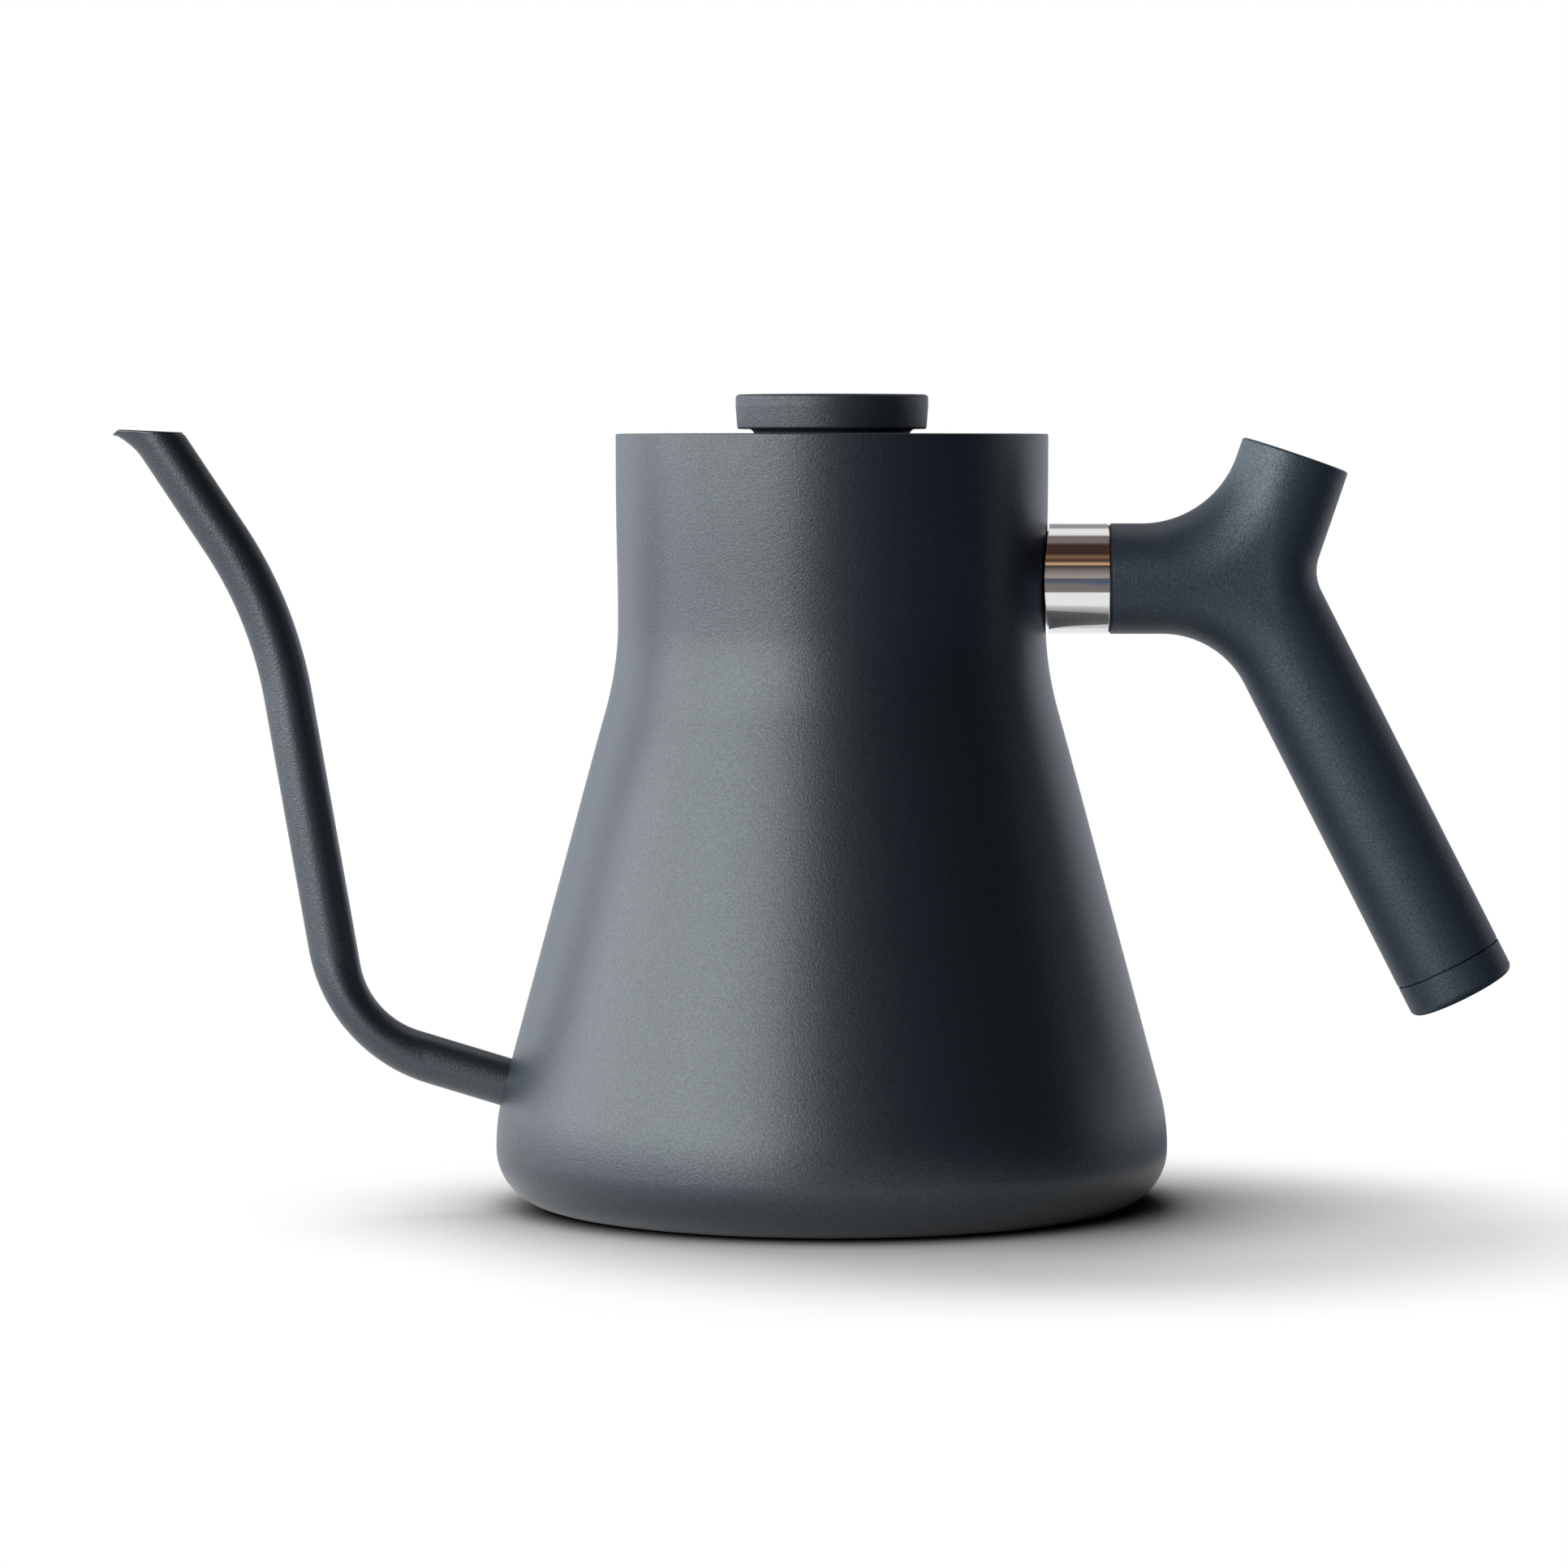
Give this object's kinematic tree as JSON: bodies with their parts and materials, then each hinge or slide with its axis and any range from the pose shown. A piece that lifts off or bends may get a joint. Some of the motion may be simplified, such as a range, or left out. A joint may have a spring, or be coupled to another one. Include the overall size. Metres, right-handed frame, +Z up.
{
  "type": "gooseneck kettle",
  "caption": "Stovetop pour-over kettle with a gooseneck spout, a counterweighted angled handle on a polished collar and a lift-out lid whose knob holds a dial thermometer.",
  "frame": {"origin": "centre of the base on the hob, on the body's axis", "axes": "+X to the handle, -X to the spout, +Y to the side away from the picture's camera, +Z up"},
  "size_m": [0.2924, 0.1408, 0.1691],
  "materials": {
    "powder_coat": "matte fine-grained powder coat on stainless steel",
    "handle_plastic": "satin moulded plastic",
    "polished_steel": "mirror-polished stainless steel",
    "plain_steel": "plain satin stainless steel",
    "silicone": "matte silicone",
    "lens_glass": "clear glass",
    "dial_paint": "matte dark dial with pale marks",
    "pointer_paint": "satin white paint",
    "bush_brass": "turned brass"
  },
  "bodies": {
    "kettle": {"body_shell": "powder_coat", "neck_band": "powder_coat", "base_plate": "plain_steel", "lid_seat": "plain_steel", "spout_tube": "powder_coat", "handle_bracket": "plain_steel", "handle_collar": "polished_steel", "arm_washer": "silicone", "handle_grip": "handle_plastic", "cross_screw": "plain_steel", "screw_washer": "plain_steel", "counterweight": "plain_steel", "counterweight_pad": "silicone", "end_cap": "handle_plastic", "cap_ring": "silicone"},
    "lid": {"lid_cover": "powder_coat", "lid_skirt": "plain_steel", "lid_seal": "silicone", "knob_housing": "handle_plastic", "lens": "lens_glass", "lens_gasket": "silicone", "dial_plate": "dial_paint", "knob_washer": "silicone", "knob_nut": "plain_steel", "stem_tube": "plain_steel", "stem_tip": "plain_steel", "guide_bush": "bush_brass", "bimetal_coil": "plain_steel"},
    "pointer": {"pointer_shaft": "plain_steel", "pointer": "pointer_paint"}
  },
  "joints": [
    {"name": "lid_lift", "type": "slide", "parent": "kettle", "child": "lid", "axis": [0, 0, 1], "range_m": [0, 0.12]},
    {"name": "pointer_turn", "type": "hinge", "parent": "lid", "child": "pointer", "pos_m": [0, 0, 0.165], "axis": [0, 0, -1], "range_deg": [0, 270], "deforming": ["bimetal_coil"]}
  ]
}
